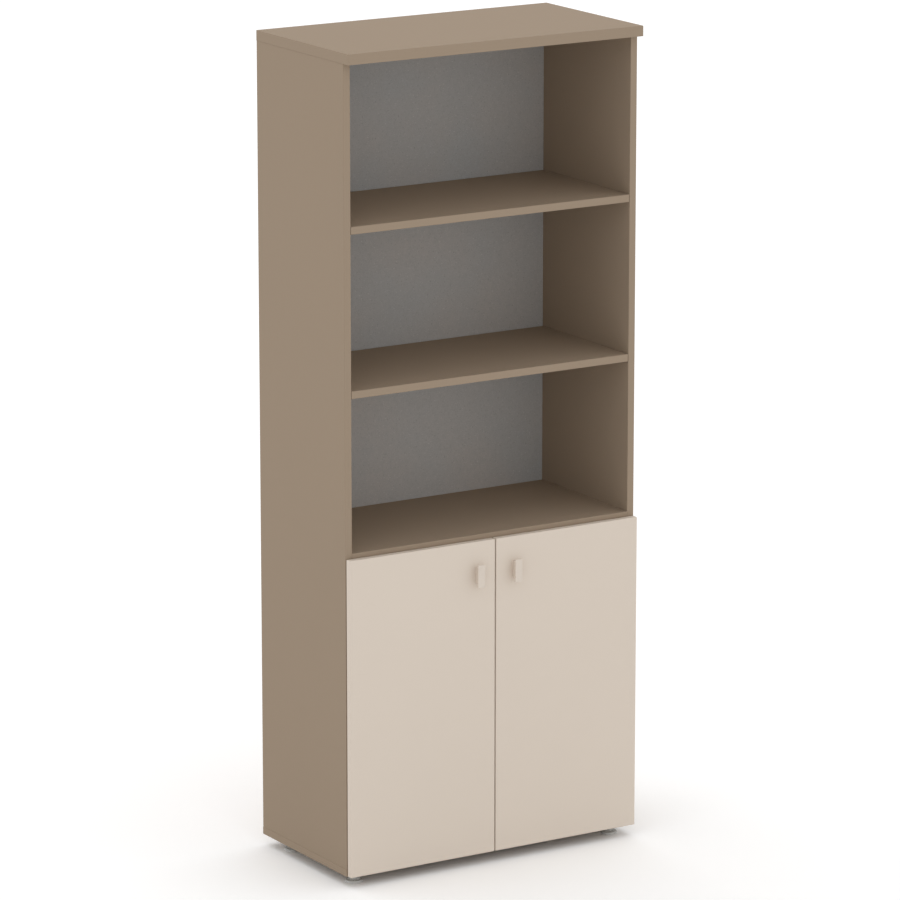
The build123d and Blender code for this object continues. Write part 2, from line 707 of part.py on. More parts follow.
def main():
    save("top_panel", top_panel())
    save("base_panel", base_panel())
    save_pair("side_panel", [left_side_panel()])
    save("back_panel", back_panel())
    save("back_nails", *[back_nail(x) for x in nail_positions()])
    save("fixed_shelf", fixed_shelf())
    for name, level in zip(("upper", "middle", "cabinet"), loose_shelf_levels):
        save(name + "_shelf", loose_shelf(level))
        save(name + "_shelf_pins", *shelf_pins(level))

    planes = joint_planes()
    save("cam_locks", *[cam_lock(plane) for plane in planes])
    save("cam_caps", *[cam_cap(plane) for plane in planes])
    save("cam_bolts", *[cam_bolt(plane) for plane in planes])
    save("dowels", *[dowel(plane) for plane in planes])

    feet = {"front_left": (-foot_x, foot_front_y), "front_right": (foot_x, foot_front_y),
            "rear_left": (-foot_x, foot_rear_y), "rear_right": (foot_x, foot_rear_y)}
    for name, place in feet.items():
        save(name + "_foot_pad", foot_pad(*place))
        save(name + "_foot_stud", foot_stud(*place))
    save("foot_inserts", *[foot_insert(*place) for place in feet.values()])

    save_pair("door_panel", [door_panel()])
    save_pair("door_buffers", [door_buffer(z) for z in buffer_levels])
    save_pair("handle", [handle()])
    save_pair("handle_screws", [handle_screw(z) for z in handle_screw_levels()])

    save_pair("hinge_cups", [hinge_cup(z) for z in hinge_levels])
    save_pair("cup_screws", [cup_screw(x, screw_z) for z in hinge_levels
                             for x, screw_z in cup_screw_places(z)])
    save_pair("hinge_pins", [hinge_pin(z) for z in hinge_levels])
    save_pair("hinge_arms", [hinge_arm(z) for z in hinge_levels])
    save_pair("hinge_plates", [hinge_plate(z) for z in hinge_levels])
    save_pair("plate_screws", [plate_screw(z) for z in plate_screw_levels()])
    save_pair("arm_screws", [arm_screw(y, z) for z in hinge_levels
                             for y in (adjuster_position, clamp_position)])


main()
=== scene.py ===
import json
import math

import bmesh
import bpy
from bpy.props import FloatProperty, FloatVectorProperty, PointerProperty
from mathutils import Matrix, Vector


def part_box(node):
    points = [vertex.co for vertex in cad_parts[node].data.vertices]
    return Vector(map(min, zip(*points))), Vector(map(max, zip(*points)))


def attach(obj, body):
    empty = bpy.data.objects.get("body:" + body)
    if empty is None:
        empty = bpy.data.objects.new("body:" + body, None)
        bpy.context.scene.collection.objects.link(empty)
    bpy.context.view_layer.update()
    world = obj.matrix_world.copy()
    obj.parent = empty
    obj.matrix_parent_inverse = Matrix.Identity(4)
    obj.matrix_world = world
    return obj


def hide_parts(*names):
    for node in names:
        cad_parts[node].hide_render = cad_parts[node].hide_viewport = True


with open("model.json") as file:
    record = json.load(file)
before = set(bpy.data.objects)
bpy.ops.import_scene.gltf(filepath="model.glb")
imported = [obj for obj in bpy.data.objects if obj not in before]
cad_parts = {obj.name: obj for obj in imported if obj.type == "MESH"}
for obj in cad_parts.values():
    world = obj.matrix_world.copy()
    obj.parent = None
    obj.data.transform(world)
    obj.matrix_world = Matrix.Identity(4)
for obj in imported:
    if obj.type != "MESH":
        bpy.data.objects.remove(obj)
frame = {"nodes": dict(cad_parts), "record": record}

bl_info = {
    "name": "Tall Bookcase",
    "version": (1, 0, 0),
    "blender": (4, 5, 0),
    "location": "View3D > Sidebar > Bookcase",
    "description": "Finishes, fittings and studio of a tall bookcase with a two-door cabinet",
    "category": "Object",
}

MM = 0.001
SIDES = ("left", "right")
CASE_BOARDS = ("top_panel", "base_panel", "left_side_panel", "right_side_panel", "fixed_shelf",
               "upper_shelf", "middle_shelf", "cabinet_shelf")
SHELF_PINS = ("upper_shelf_pins", "middle_shelf_pins", "cabinet_shelf_pins")
FEET = ("front_left", "front_right", "rear_left", "rear_right")
BODY_OF = {node: body for body, nodes in frame["record"]["behaviour"]["bodies"].items() for node in nodes}

WELD = 0.005 * MM                  # points of a CAD mesh closer than this are one
END_BAND = 20 * WELD               # points this close to the end of a round solid belong to the end
ROUND = 24                         # points round a small turned piece
FINE_ROUND = 64                    # points round a foot pad or a fluted dowel
BEVEL_ANGLE = math.radians(40)     # CAD edges that turn by more are rounded
SHARP_ANGLE = math.radians(35)     # edges of a new piece that turn by more are shaded sharp
CASE_EDGE_SHADE = 0.7                   # painted shade on a case board's sharp edges and on the seams between boards, against its facing
DOOR_EDGE_HIGHLIGHT = 1.3                   # painted highlight on a door's sharp edges, against its facing
HANDLE_SHADE = 0.96                # shade of the handles against the doors
FLOOR_WHITE = (1.1, 1.1, 1.1)      # floor to the camera: plain white wherever no shadow falls
LAMP_DISTANCE = 5.0                # how far off the lamps stand; a sun lamp lights the same from anywhere


# ------------------------------------------------------------------ what a user can change
class BoardFinish(bpy.types.PropertyGroup):
    """Colours and surface of the faced boards."""
    case_colour: FloatVectorProperty(
        name="Case", description="Facing of the case and its shelves", subtype="COLOR",
        size=3, min=0, max=1, default=(0.349, 0.270, 0.198))
    door_colour: FloatVectorProperty(
        name="Doors", description="Facing of the two doors and colour of their handles", subtype="COLOR",
        size=3, min=0, max=1, default=(0.735, 0.645, 0.555))
    back_colour: FloatVectorProperty(
        name="Back", description="Speckled face of the back panel", subtype="COLOR",
        size=3, min=0, max=1, default=(0.448, 0.438, 0.425))
    raw_colour: FloatVectorProperty(
        name="Raw back", description="Raw rear face of the back panel", subtype="COLOR",
        size=3, min=0, max=1, default=(0.33, 0.21, 0.125))
    roughness: FloatProperty(
        name="Roughness", description="Roughness of the facing", min=0, max=1, default=0.65)
    grain: FloatProperty(
        name="Grain", description="Size of the facing's fine pearl texture", unit="LENGTH",
        min=0.0001, max=0.01, default=0.0008)


class FittingFinish(bpy.types.PropertyGroup):
    """Colours of the plastic, metal, rubber and wood fittings."""
    foot_colour: FloatVectorProperty(
        name="Feet", description="Plastic of the foot pads", subtype="COLOR",
        size=3, min=0, max=1, default=(0.60, 0.60, 0.58))
    cap_colour: FloatVectorProperty(
        name="Caps", description="Plastic of the cam caps", subtype="COLOR",
        size=3, min=0, max=1, default=(0.349, 0.270, 0.198))
    steel_colour: FloatVectorProperty(
        name="Plated steel", description="Hinges, shelf pins, screws, nails and foot studs",
        subtype="COLOR", size=3, min=0, max=1, default=(0.70, 0.69, 0.67))
    zinc_colour: FloatVectorProperty(
        name="Zinc", description="Cast cams, bolts and inserts", subtype="COLOR",
        size=3, min=0, max=1, default=(0.5, 0.5, 0.5))
    rubber_colour: FloatVectorProperty(
        name="Buffers", description="Soft door buffers", subtype="COLOR",
        size=3, min=0, max=1, default=(0.8, 0.8, 0.78))
    wood_colour: FloatVectorProperty(
        name="Dowels", description="Beech of the dowels", subtype="COLOR",
        size=3, min=0, max=1, default=(0.6, 0.42, 0.25))


class StudioSetup(bpy.types.PropertyGroup):
    """Camera, light and floor."""
    azimuth: FloatProperty(
        name="Azimuth", description="Camera's turn about the bookcase, 0 in front of the doors",
        subtype="ANGLE", default=math.radians(-31.7))
    elevation: FloatProperty(
        name="Elevation", description="Camera's angle above the horizon", subtype="ANGLE",
        default=math.radians(13.5))
    distance: FloatProperty(
        name="Distance", description="Camera to the point that it looks at", unit="LENGTH",
        min=1, default=12.57)
    aim: FloatVectorProperty(
        name="Aim", description="Point that the camera looks at", subtype="XYZ", unit="LENGTH",
        size=3, default=(-0.003, 0.004, 0.968))
    lens: FloatProperty(
        name="Lens", description="Focal length of the camera, in millimetres", min=10, default=212.4)
    sky: FloatProperty(
        name="Sky", description="Strength of the even white light from all round", min=0, default=0.87)
    top_lamp: FloatProperty(
        name="Top lamp", description="Strength of the soft lamp high behind the bookcase", min=0,
        default=0.4)
    top_lamp_height: FloatProperty(
        name="Top lamp height", description="Angle of the top lamp above the horizon", subtype="ANGLE",
        default=math.radians(60))
    top_lamp_spread: FloatProperty(
        name="Top lamp spread", description="How wide the top lamp looks", subtype="ANGLE",
        default=math.radians(60))
    front_fill: FloatProperty(
        name="Front fill", description="Strength of the wide low lamp in front", min=0, default=0.1)
    right_fill: FloatProperty(
        name="Right fill", description="Strength of the wide low lamp on the right", min=0, default=0.22)
    fill_spread: FloatProperty(
        name="Fill spread", description="How wide the low lamps look", subtype="ANGLE",
        default=math.radians(120))
    floor_shade: FloatProperty(
        name="Floor", description="How much light the floor gives back", min=0, max=1, default=0.9)
    floor_half: FloatProperty(
        name="Floor size", description="Middle of the floor to its edge", unit="LENGTH",
        min=5, default=60.0)


# ------------------------------------------------------------------ nodes
def shade(colour, factor):
    """The colour, lighter or darker."""
    return tuple(min(1.0, part * factor) for part in colour)


class Finish:
    """A material and short ways to add nodes to it.
    A value for a socket is a number, a colour or the output of another node."""

    def __init__(self, name):
        self.material = bpy.data.materials.new(name)
        self.material.use_nodes = True
        self.tree = self.material.node_tree
        self.tree.nodes.clear()
        output = self.add("ShaderNodeOutputMaterial")
        self.shader = self.add("ShaderNodeBsdfPrincipled")
        self.tree.links.new(self.shader.outputs["BSDF"], output.inputs["Surface"])
        where = self.add("ShaderNodeTexCoord")
        self.place, self.facing = where.outputs["Object"], where.outputs["Normal"]

    def add(self, kind, **settings):
        """New node with its settings."""
        node = self.tree.nodes.new(kind)
        for name, value in settings.items():
            setattr(node, name, value)
        return node

    def feed(self, socket, value):
        """Links or sets one socket."""
        if isinstance(value, bpy.types.NodeSocket):
            self.tree.links.new(value, socket)
        else:
            socket.default_value = value

    def surface(self, **sockets):
        """Feeds the shader's own sockets, such as Base_Color."""
        for name, value in sockets.items():
            self.feed(self.shader.inputs[name.replace("_", " ")], value)

    def noise(self, size, detail=2.0, stretch=(1, 1, 1)):
        """Noise from 0 to 1 with features of that size in metres, drawn out along the axes."""
        mapping = self.add("ShaderNodeMapping")
        self.feed(mapping.inputs["Vector"], self.place)
        mapping.inputs["Scale"].default_value = [1 / factor for factor in stretch]
        texture = self.add("ShaderNodeTexNoise")
        self.feed(texture.inputs["Vector"], mapping.outputs["Vector"])
        texture.inputs["Scale"].default_value = 1 / size
        texture.inputs["Detail"].default_value = detail
        return texture.outputs["Fac"]

    def span(self, value, low, high, start=0.3, end=0.7):
        """Low where the value is start or less, high where it is end or more, even between them.
        The usual start and end are about the lowest and the highest value that noise reaches."""
        node = self.add("ShaderNodeMapRange")
        self.feed(node.inputs["Value"], value)
        node.inputs["From Min"].default_value = start
        node.inputs["From Max"].default_value = end
        node.inputs["To Min"].default_value = low
        node.inputs["To Max"].default_value = high
        return node.outputs["Result"]

    def around(self, value, middle, reach):
        """Noise spread from reach below the middle to reach above it."""
        return self.span(value, middle - reach, middle + reach)

    def blend(self, factor, first, second):
        """From the first colour to the second."""
        node = self.add("ShaderNodeMix", data_type="RGBA")
        self.feed(node.inputs[0], factor)
        for socket, colour in ((node.inputs[6], first), (node.inputs[7], second)):
            self.feed(socket, colour if isinstance(colour, bpy.types.NodeSocket) else (*colour, 1.0))
        return node.outputs[2]

    def vary(self, factor, colour, low, high):
        """From one shade of the colour to another."""
        return self.blend(factor, shade(colour, low), shade(colour, high))

    def relief(self, height, depth):
        """Surface normal for a height from 0 to 1 that is depth metres deep."""
        node = self.add("ShaderNodeBump")
        self.feed(node.inputs["Height"], height)
        node.inputs["Distance"].default_value = depth
        return node.outputs["Normal"]

    def paint_edge_light(self, tone, painted_edge_colour, radius, strength):
        """The tone, with the edge colour laid over it as painted light on corners sharper than the radius:
        a painted highlight where the edge colour is lighter than the tone, painted shade where it is
        darker.
        """
        rounded = self.add("ShaderNodeBevel", samples=4)
        rounded.inputs["Radius"].default_value = radius
        true = self.add("ShaderNodeNewGeometry")
        # The product of the two normals is 1 on a flat face and about 0.7 on a square corner.
        product = self.add("ShaderNodeVectorMath", operation="DOT_PRODUCT")
        self.feed(product.inputs[0], rounded.outputs["Normal"])
        self.feed(product.inputs[1], true.outputs["Normal"])
        # Mask of the painted light along the edges.
        edges = self.span(product.outputs["Value"], 1.0, 0.0, start=0.75, end=1.0)
        weaker = self.add("ShaderNodeMath", operation="MULTIPLY")
        self.feed(weaker.inputs[0], edges)
        self.feed(weaker.inputs[1], strength)
        return self.blend(weaker.outputs["Value"], tone, painted_edge_colour)


# ------------------------------------------------------------------ finishes
def board_finish(name, colour, look, painted_edge_factor):
    """Melamine facing: near-plain colour, fine pearl texture, and painted light on its sharp edges, darker
    or lighter by the edge factor.
    """
    finish = Finish(name)
    drift = finish.noise(350 * MM)
    pearl = finish.noise(look.grain, detail=3)
    tone = finish.vary(drift, colour, 0.985, 1.015)
    tone = finish.blend(finish.span(pearl, 0.0, 0.5), tone, shade(colour, 0.97))
    # Painted light on the sharp edges: painted shade on the case, darkest at the seams between boards, and
    # a painted highlight on the doors.
    tone = finish.paint_edge_light(tone, shade(colour, painted_edge_factor), radius=1.5 * MM, strength=0.6)
    finish.surface(Base_Color=tone, Specular_IOR_Level=0.04,
                   Roughness=finish.around(pearl, look.roughness, 0.05),
                   Normal=finish.relief(pearl, 0.02 * MM))
    return finish.material


def back_finish(colour, raw_colour):
    """Hardboard: painted front with pale and dark flecks over a cool to warm grey, raw brown rear."""
    finish = Finish("speckled_hardboard")
    drift = finish.noise(250 * MM)
    cool = [part * factor for part, factor in zip(colour, (0.95, 0.99, 1.02))]
    warm = [part * factor for part, factor in zip(colour, (1.05, 1.01, 0.98))]
    paint = finish.blend(finish.span(drift, 0.0, 1.0), cool, warm)
    mottle = finish.noise(14 * MM, detail=3)
    paint = finish.blend(finish.span(mottle, 0.0, 0.5), paint, shade(colour, 0.9))
    pale, dark = shade(colour, 1.6), shade(colour, 0.5)
    for stretch, fleck in (((3, 1, 1), pale), ((1, 1, 3), dark), ((1, 1, 1), pale), ((2, 1, 2), dark)):
        specks = finish.noise(2.0 * MM, stretch=stretch)
        paint = finish.blend(finish.span(specks, 0.0, 0.6, start=0.62, end=0.74), paint, fleck)
    fibres = finish.noise(1.4 * MM, detail=5)
    raw = finish.vary(finish.span(fibres, 0.0, 1.0), raw_colour, 0.7, 1.3)
    # Only the face that looks forward, to -Y, is painted.
    facing = finish.add("ShaderNodeSeparateXYZ")
    finish.feed(facing.inputs[0], finish.facing)
    unpainted = finish.span(facing.outputs["Y"], 0.0, 1.0, start=-0.5, end=-0.4)
    finish.surface(Base_Color=finish.blend(unpainted, paint, raw), Roughness=0.75,
                   Specular_IOR_Level=0.25, Normal=finish.relief(fibres, 0.05 * MM))
    return finish.material


def plastic_finish(name, colour, roughness, gloss=0.5):
    """Moulded plastic with a fine spark-eroded texture and painted highlights on its edges."""
    finish = Finish(name)
    texture = finish.noise(0.5 * MM)
    drift = finish.noise(20 * MM)
    tone = finish.vary(drift, colour, 0.97, 1.03)
    # Painted highlight: the edges are drawn lighter than the plastic.
    tone = finish.paint_edge_light(tone, shade(colour, 1.2), radius=0.8 * MM, strength=0.3)
    finish.surface(Base_Color=tone, Roughness=finish.around(texture, roughness, 0.06),
                   Specular_IOR_Level=gloss, Normal=finish.relief(texture, 0.015 * MM))
    return finish.material


def metal_finish(name, colour, roughness, grain=(1, 1, 1)):
    """Plated or cast metal, with fine drawing marks or cast grain and painted highlights on its edges."""
    finish = Finish(name)
    marks = finish.noise(0.2 * MM, stretch=grain)
    haze = finish.noise(6 * MM)
    tone = finish.vary(haze, colour, 0.9, 1.08)
    # Painted highlight: the edges are drawn brighter than the metal.
    tone = finish.paint_edge_light(tone, shade(colour, 1.3), radius=0.4 * MM, strength=0.5)
    finish.surface(Base_Color=tone, Metallic=1.0, Roughness=finish.around(marks, roughness, 0.04),
                   Normal=finish.relief(marks, 0.0008 * MM))
    return finish.material


def rubber_finish(colour):
    """Soft translucent buffer."""
    finish = Finish("buffer_rubber")
    texture = finish.noise(0.8 * MM)
    finish.surface(Base_Color=finish.vary(texture, colour, 0.93, 1.03),
                   Roughness=finish.span(texture, 0.45, 0.6), Subsurface_Weight=0.2,
                   Subsurface_Radius=(MM, MM, MM), Normal=finish.relief(texture, 0.02 * MM))
    return finish.material


def beech_finish(colour):
    """Raw beech with long grain and short dark rays."""
    finish = Finish("raw_beech")
    grain = finish.noise(1.2 * MM, detail=4, stretch=(1, 1, 12))
    rays = finish.noise(0.7 * MM, stretch=(1, 1, 5))
    tone = finish.vary(finish.span(grain, 0.0, 1.0), colour, 0.85, 1.1)
    tone = finish.blend(finish.span(rays, 0.0, 0.4, start=0.55, end=0.75), tone, shade(colour, 0.6))
    finish.surface(Base_Color=tone, Roughness=0.7, Normal=finish.relief(grain, 0.03 * MM))
    return finish.material


def dress(nodes, material):
    """Gives the whole of each CAD node one finish."""
    for name in nodes:
        mesh = frame["nodes"][name].data
        mesh.materials.clear()
        mesh.materials.append(material)


def soften(nodes, width):
    """Rounds the sharp edges of CAD nodes a little, by a modifier."""
    for name in nodes:
        node = frame["nodes"][name]
        weld = node.modifiers.new("weld", "WELD")
        weld.merge_threshold = WELD
        bevel = node.modifiers.new("soft_edges", "BEVEL")
        bevel.width = width
        bevel.segments = 2
        bevel.limit_method = "ANGLE"
        bevel.angle_limit = BEVEL_ANGLE
        bevel.harden_normals = True


# ------------------------------------------------------------------ measures of the round CAD solids
def unit(axis):
    """Unit vector along one axis."""
    return Vector(1.0 if index == axis else 0.0 for index in range(3))


class TurnedSolid:
    """Place and measures of one round solid of a CAD node.
    Its own Z runs along its axis, from its thinner end to its thicker end.
    It is thin at the first end, thick where it is thickest, and its shoulder is the height
    above the first end where it gets thicker."""

    def __init__(self, points):
        low = Vector(min(point[axis] for point in points) for axis in range(3))
        high = Vector(max(point[axis] for point in points) for axis in range(3))
        size, middle = high - low, (low + high) / 2
        # Across the axis a round solid is as wide one way as the other.
        along = min(range(3), key=lambda axis: abs(size[axis - 1] - size[axis - 2]))
        reach = [(point[along], (point - middle - (point - middle)[along] * unit(along)).length)
                 for point in points]
        ends = [max(radius for place, radius in reach if abs(place - end[along]) < END_BAND)
                for end in (low, high)]
        upward = ends[1] >= ends[0]
        start = low[along] if upward else high[along]
        self.length = size[along]
        self.thin = min(ends)
        self.thick = max(radius for place, radius in reach)
        self.shoulder = self.length
        if self.thick > self.thin + 2 * WELD:
            self.shoulder = min(abs(place - start) for place, radius in reach
                                if radius > self.thin + WELD)
        origin = middle.copy()
        origin[along] = start
        direction = unit(along) * (1 if upward else -1)
        self.place = Matrix.Translation(origin) @ direction.to_track_quat("Z", "Y").to_matrix().to_4x4()


def turned_solids(name):
    """The separate solids of a CAD node, measured."""
    mesh = bmesh.new()
    mesh.from_mesh(frame["nodes"][name].data)
    bmesh.ops.remove_doubles(mesh, verts=mesh.verts, dist=WELD)
    waiting = {vertex.index: vertex for vertex in mesh.verts}
    solids = []
    while waiting:
        front = [waiting.pop(min(waiting))]
        points = []
        while front:
            vertex = front.pop()
            points.append(vertex.co.copy())
            for edge in vertex.link_edges:
                other = edge.other_vert(vertex)
                if waiting.pop(other.index, None):
                    front.append(other)
        solids.append(TurnedSolid(points))
    mesh.free()
    return solids


# ------------------------------------------------------------------ rings, skins and threads
def ring(radius, height, count=ROUND, flute=0.0, flutes=0):
    """Closed ring of points about Z, plain or fluted."""
    points = []
    for index in range(count):
        angle = 2 * math.pi * index / count
        reach = radius - flute * (0.5 - 0.5 * math.cos(flutes * angle))
        points.append((reach * math.cos(angle), reach * math.sin(angle), height))
    return points


def cross_ring(reach, half_width, height):
    """Outline of a cross recess, as many points as a small ring and in step with it."""
    middle = (reach + half_width) / 2
    quarter = [(reach, 0), (reach, half_width), (middle, half_width), (half_width, half_width),
               (half_width, middle), (half_width, reach)]
    points = []
    for cos, sin in ((1, 0), (0, 1), (-1, 0), (0, -1)):
        points += [(x * cos - y * sin, x * sin + y * cos, height) for x, y in quarter]
    return points


def cross_recess(radius, top, depth, mouth, floor):
    """The two rings that sink a cross recess into a head.
    Mouth and floor are the cross's reach at each, as shares of the head's radius."""
    return [cross_ring(mouth * radius, 0.12 * radius, top),
            cross_ring(floor * radius, 0.09 * radius, top - depth)]


def hexagon_ring(across_flats, height, chamfer_from, fall):
    """Six-sided ring whose corners fall away beyond a radius, as on a chamfered nut."""
    points = []
    for index in range(2 * ROUND):
        angle = 2 * math.pi * index / (2 * ROUND)
        past_flat = (angle + math.pi / 6) % (math.pi / 3) - math.pi / 6
        reach = across_flats / 2 / math.cos(past_flat)
        points.append((reach * math.cos(angle), reach * math.sin(angle),
                       height + fall * max(0.0, reach - chamfer_from)))
    return points


def rings_along(outline, count=ROUND):
    """Plain rings along an outline, a list of (radius, height) that runs up a turned piece."""
    return [ring(radius, height, count) for radius, height in outline]


def domed(shares, radius, base, height):
    """Outline of a head, from shares of its radius and of its height above its base."""
    return [(across * radius, base + up * height) for across, up in shares]


def loft(mesh, place, rings):
    """Closed skin over rings of equally many points, from the lowest ring to the highest."""
    rows = [[mesh.verts.new(place @ Vector(point)) for point in points] for points in rings]
    for lower, upper in zip(rows, rows[1:]):
        for index in range(len(lower)):
            after = (index + 1) % len(lower)
            mesh.faces.new((lower[index], lower[after], upper[after], upper[index]))
    for row, points, order in ((rows[0], rings[0], -1), (rows[-1], rings[-1], 1)):
        middle = sum((Vector(point) for point in points), Vector()) / len(points)
        centre = mesh.verts.new(place @ middle)
        for index in range(len(row)):
            mesh.faces.new((row[index], row[(index + 1) % len(row)], centre)[::order])


def radius_at(outline, height):
    """Radius of a turned piece at a height, between two points of its outline."""
    for (first, low), (second, high) in zip(outline, outline[1:]):
        if low <= height < high:
            return first + (second - first) * (height - low) / (high - low)
    return outline[0][0] if height < outline[0][1] else outline[-1][0]


def thread(mesh, place, shank, crest, pitch, start, end):
    """Closed ridge that winds round a shank, follows its outline and tapers to nothing at both ends."""
    steps = 20                    # points for each turn
    run_in = 0.6 * steps          # points over which the ridge rises to its height
    half = 0.42 * pitch           # half its width at the root
    inside = 0.96                 # its root lies just inside the shank
    depth = crest - inside * max(radius for radius, height in shank)
    count = int((end - start - pitch) / pitch * steps)
    rows = []
    for index in range(count + 1):
        angle = 2 * math.pi * index / steps
        middle = start + pitch / 2 + pitch * index / steps
        rise = min(1.0, index / run_in, (count - index) / run_in)
        corners = [(inside * radius_at(shank, height) + added, height) for height, added in
                   ((middle - half, 0.0), (middle, depth * rise), (middle + half, 0.0))]
        rows.append([mesh.verts.new(place @ Vector((radius * math.cos(angle), radius * math.sin(angle), z)))
                     for radius, z in corners])
    for before, after in zip(rows, rows[1:]):
        for index in range(3):
            beside = (index + 1) % 3
            mesh.faces.new((before[index], before[beside], after[beside], after[index]))
    mesh.faces.new(rows[0][::-1])
    mesh.faces.new(rows[-1])


# ------------------------------------------------------------------ turned pieces
def screw(mesh, solid, pitch, pointed):
    """Pan-head screw with a cross recess: a machine screw, or a pointed one for wood."""
    core, neck = 0.74 * solid.thin, 0.97 * solid.thin
    plain = 0.12 * solid.shoulder
    thread_end = solid.shoulder - plain
    head = solid.length - solid.shoulder
    if pointed:
        tip, tip_end = 0.05 * solid.thin, 2.2 * solid.thin
    else:
        tip, tip_end = 0.6 * solid.thin, 0.3 * solid.thin
    threaded = [(tip, 0.0), (core, tip_end), (core, thread_end)]
    under_head = [(neck, thread_end + 0.3 * MM), (neck, solid.shoulder)]
    pan = domed(((1.0, 0.0), (1.0, 0.3), (0.95, 0.58), (0.84, 0.8), (0.7, 0.94), (0.6, 1.0)),
                solid.thick, solid.shoulder, head)
    recess = cross_recess(solid.thick, solid.length, 0.75 * head, mouth=0.5, floor=0.32)
    loft(mesh, solid.place, rings_along(threaded + under_head + pan) + recess)
    thread(mesh, solid.place, threaded, solid.thin, pitch, tip_end / 2, thread_end)


def dowel(mesh, solid):
    """Beech dowel with pressed flutes and chamfered ends."""
    chamfer, end = 1.2 * MM, 0.72 * solid.thick
    outline = [(end, 0.0), (solid.thick, chamfer), (solid.thick, solid.length - chamfer),
               (end, solid.length)]
    loft(mesh, solid.place, [ring(radius, height, FINE_ROUND, flute=0.3 * MM, flutes=16)
                             for radius, height in outline])


def cam_bolt(mesh, solid):
    """Connecting bolt: coarse thread, plain shaft, thin neck and rounded head."""
    core, shaft, neck = 0.7 * solid.thin, solid.thick, 0.6 * solid.thick
    top = solid.length
    head_start = top - 3.0 * MM
    neck_start = head_start - 5.0 * MM
    threaded = [(0.3 * solid.thin, 0.0), (core, 0.8 * MM), (core, solid.shoulder)]
    plain = [(shaft - 0.3 * MM, solid.shoulder), (shaft, solid.shoulder + 0.3 * MM),
             (shaft, neck_start - 1.5 * MM), (neck, neck_start), (neck, head_start)]
    head = [(0.9 * shaft, head_start + 0.2 * MM), (shaft, head_start + 0.8 * MM),
            (shaft, head_start + 1.8 * MM), (0.85 * shaft, top - 0.4 * MM), (0.55 * shaft, top)]
    recess = cross_recess(shaft, top, 1.4 * MM, mouth=0.45, floor=0.3)
    loft(mesh, solid.place, rings_along(threaded + plain + head) + recess)
    thread(mesh, solid.place, threaded, solid.thin, 2.2 * MM, 0.0, solid.shoulder)


def cam_cap(mesh, solid):
    """Thin cover disc with a rounded rim and a slightly dished face."""
    radius, thickness, dish = solid.thick, solid.length, 0.15 * MM
    outline = [(0.6 * radius, dish), (0.85 * radius, dish), (0.9 * radius, 0.0), (0.97 * radius, 0.0),
               (radius, 0.25 * thickness), (radius, 0.75 * thickness), (0.97 * radius, thickness),
               (0.9 * radius, thickness), (0.85 * radius, thickness - dish),
               (0.6 * radius, thickness - dish)]
    loft(mesh, solid.place, rings_along(outline, 2 * ROUND))


def nail(mesh, solid):
    """Ring-shank nail with a sharp point and a slightly dished flat head."""
    shank, groove, step = 0.95 * solid.thin, 0.84 * solid.thin, 1.1 * MM
    head = solid.length - solid.shoulder
    outline = [(0.05 * solid.thin, 0.0), (shank, 3 * solid.thin)]
    height = 4 * MM
    while height < 0.7 * solid.shoulder:
        outline += [(solid.thin, height), (groove, height + 0.35 * MM), (groove, height + 0.8 * MM)]
        height += step
    outline += [(shank, height), (shank, solid.shoulder), (0.96 * solid.thick, solid.shoulder),
                (solid.thick, solid.shoulder + 0.4 * head), (0.93 * solid.thick, solid.length),
                (0.6 * solid.thick, solid.length - 0.1 * head)]
    loft(mesh, solid.place, rings_along(outline))


def buffer(mesh, solid):
    """Soft buffer: barbed stem and domed head."""
    barb, stem = solid.thin, 0.75 * solid.thin
    outline = [(0.6 * barb, 0.0), (barb, 1.0 * MM), (stem, 1.2 * MM), (stem, 2.2 * MM),
               (barb, 3.2 * MM), (stem, 3.4 * MM), (stem, solid.shoulder),
               (0.96 * solid.thick, solid.shoulder)]
    outline += domed(((1.0, 0.12), (1.0, 0.4), (0.94, 0.62), (0.8, 0.82), (0.58, 0.95), (0.3, 1.0)),
                     solid.thick, solid.shoulder, solid.length - solid.shoulder)
    loft(mesh, solid.place, rings_along(outline))


# ------------------------------------------------------------------ levelling feet
def foot_pad(mesh, place, radius, height):
    """Foot pad: bevelled sole, rounded rim, gently domed top, short hub with the stud's socket, ribs."""
    hub, rim, socket, socket_floor = 9.0 * MM, 5.5 * MM, 4.05 * MM, 6.5 * MM
    sole = [(radius - 3.0 * MM, 0.5 * MM), (radius - 2.6 * MM, 0.0), (radius - 1.2 * MM, 0.0)]
    edge = [(radius - 0.4 * MM, 0.35 * MM), (radius, 1.2 * MM), (radius, rim - 1.6 * MM),
            (radius - 0.35 * MM, rim - 0.7 * MM), (radius - 1.2 * MM, rim - 0.15 * MM)]
    dome = [(radius - 2.4 * MM, rim), (hub + 1.2 * MM, rim + 0.5 * MM), (hub + 0.3 * MM, rim + 1.0 * MM)]
    neck = [(hub, rim + 1.8 * MM), (hub - 0.2 * MM, height - 0.5 * MM), (hub - 0.7 * MM, height)]
    bore = [(socket + 0.5 * MM, height), (socket, height - 0.5 * MM), (socket, socket_floor)]
    loft(mesh, place, rings_along(sole + edge + dome + neck + bore, FINE_ROUND))

    ribs, thin, thick = 8, 0.5 * MM, 0.8 * MM
    near, far, low, top = hub - 0.6 * MM, radius - 3.5 * MM, rim - 0.5 * MM, height - 3.0 * MM
    side = [(near, low), (far, low), (far, rim + 0.1 * MM), (hub + 2.5 * MM, top - 2.5 * MM), (near, top)]
    for index in range(ribs):
        turned = place @ Matrix.Rotation(2 * math.pi * (index + 0.5) / ribs, 4, "Z")
        left, right = [[mesh.verts.new(turned @ Vector((x, hand * (thin if z > rim else thick), z)))
                        for x, z in side] for hand in (-1, 1)]
        mesh.faces.new(left)
        mesh.faces.new(right[::-1])
        for corner in range(len(side)):
            after = (corner + 1) % len(side)
            mesh.faces.new((left[corner], left[after], right[after], right[corner]))


